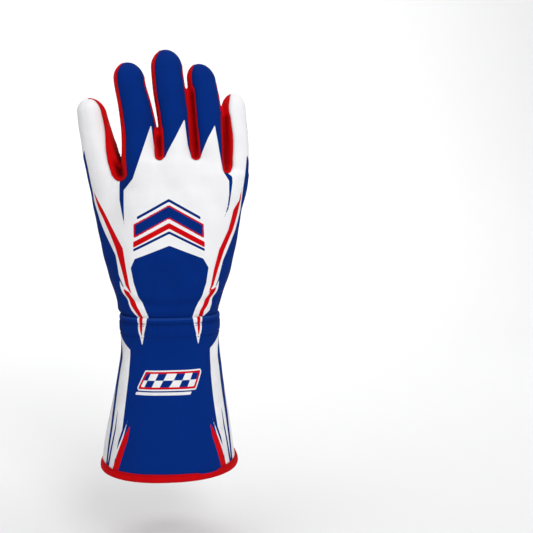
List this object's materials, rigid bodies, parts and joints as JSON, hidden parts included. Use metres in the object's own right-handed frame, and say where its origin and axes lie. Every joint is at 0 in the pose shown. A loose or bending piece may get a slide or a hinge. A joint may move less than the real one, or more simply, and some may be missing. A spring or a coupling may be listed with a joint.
{
  "type": "karting glove",
  "caption": "Right-hand karting glove with padded suede palm, contrast finger side walls and a long flared cuff, in the open form it has when worn.",
  "frame": {"origin": "centre of the wrist, in the plane of the seam between hand and cuff", "axes": "+Z from the wrist towards the fingertips, -Y out of the back of the hand, +Y out of the palm, thumb towards -X"},
  "size_m": [0.1281, 0.1002, 0.3128],
  "materials": {
    "white_fabric": "printed matt stretch fabric, white with blue",
    "blue_fabric": "printed matt stretch fabric, blue",
    "red_fabric": "matt stretch fabric, red",
    "red_binding": "rolled edge binding, red",
    "black_suede": "black suede",
    "pad_suede": "black suede over padding, with light stitching"
  },
  "bodies": {
    "root": {"back_panel": "white_fabric", "side_panel": "white_fabric", "palm_panel": "black_suede", "gusset_thumb_index": "red_fabric", "gusset_index_middle": "red_fabric", "gusset_middle_ring": "red_fabric", "gusset_ring_little": "red_fabric", "outer_strip": "red_fabric", "thumb_strip": "red_fabric", "knuckle_pad": "pad_suede", "thenar_pad": "pad_suede", "hypothenar_pad": "pad_suede", "thumb_tip_pad": "pad_suede", "thumb_base_pad": "pad_suede", "cuff": "blue_fabric", "hem_binding": "red_binding"}
  },
  "joints": []
}
